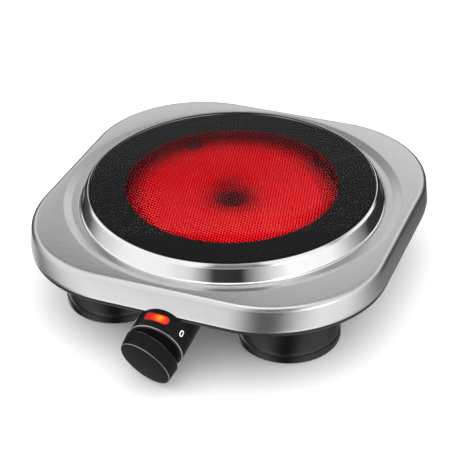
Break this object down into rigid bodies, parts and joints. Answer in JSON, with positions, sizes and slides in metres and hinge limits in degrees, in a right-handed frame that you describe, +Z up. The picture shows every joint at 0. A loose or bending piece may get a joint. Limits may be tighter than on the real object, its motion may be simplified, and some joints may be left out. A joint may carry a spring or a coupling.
{
  "type": "hot plate burner",
  "caption": "Free-standing infrared hot plate: square steel cover, round glass hob, radiant heater, black feet and a slant-cut control knob under the front edge.",
  "frame": {"origin": "centre of the glass plate's top face, where a pan stands", "axes": "+Z up out of the glass, -Y towards the control knob, +X to the right of a person facing the knob"},
  "size_m": [0.2398, 0.2704, 0.0679],
  "materials": {
    "brushed_cover": "satin, brushed from side to side",
    "polished_trim": "bright turned",
    "black_glass": "polished glass ceramic",
    "mask_ink": "matt black print",
    "mesh_ink": "fine dotted print lit from below",
    "seal": "woven ceramic fibre and silicone",
    "plated_steel": "zinc plated",
    "screws": "zinc plated",
    "dish_steel": "aluminised sheet",
    "insulation": "pressed microporous board",
    "glowing_ribbon": "glowing resistance ribbon",
    "steatite": "unglazed",
    "black_pan": "black enamel",
    "foot_plastic": "glossy moulded",
    "foot_rubber": "matt",
    "control_plastic": "satin moulded",
    "lamp_red": "clear red, lit",
    "neon": "glowing neon bulb",
    "mark_white": "white print",
    "brass_parts": "plain",
    "sleeve_brown": "silicone sleeve",
    "sleeve_blue": "silicone sleeve",
    "sleeve_black": "silicone sleeve",
    "sleeve_white": "silicone sleeve",
    "sleeve_earth": "silicone sleeve"
  },
  "bodies": {
    "housing": {"top_cover": "brushed_cover", "trim_ring": "polished_trim", "glass_plate": "black_glass", "mask_print": "mask_ink", "mesh_print": "mesh_ink", "glass_seal": "seal", "carrier_ring": "plated_steel", "carrier_screws": "screws", "heater_dish": "dish_steel", "insulation_base": "insulation", "insulation_rim": "insulation", "heating_ribbon": "glowing_ribbon", "limiter_switch": "steatite", "limiter_probe": "plated_steel", "heater_terminal": "steatite", "heater_springs": "plated_steel", "spring_rivets": "screws", "base_plate": "black_pan", "cover_brackets": "plated_steel", "cover_screws": "screws", "foot_front_left": "foot_plastic", "foot_front_right": "foot_plastic", "foot_rear_left": "foot_plastic", "foot_rear_right": "foot_plastic", "pad_front_left": "foot_rubber", "pad_front_right": "foot_rubber", "pad_rear_left": "foot_rubber", "pad_rear_right": "foot_rubber", "foot_screws": "screws", "foot_nuts": "screws", "control_housing": "control_plastic", "housing_screws": "screws", "housing_nuts": "screws", "lamp_lens": "lamp_red", "neon_lamp": "neon", "lamp_holder": "steatite", "dial_marks": "mark_white", "regulator_body": "steatite", "regulator_tabs": "brass_parts", "regulator_nut": "screws", "mains_block": "steatite", "mains_block_screws": "brass_parts", "earth_tag": "brass_parts", "earth_screw": "brass_parts", "cord_gland": "control_plastic", "gland_nut": "control_plastic", "wire_live": "sleeve_brown", "wire_neutral": "sleeve_blue", "wire_switched": "sleeve_black", "wire_limiter": "sleeve_white", "wire_earth": "sleeve_earth"},
    "knob": {"knob_shell": "control_plastic", "knob_hub": "control_plastic", "regulator_shaft": "plated_steel"}
  },
  "joints": [
    {"name": "knob_turn", "type": "hinge", "parent": "housing", "child": "knob", "pos_m": [0, -0.118, -0.0413], "axis": [0.0674, 0.9636, 0.2588], "range_deg": [0, 250]}
  ]
}
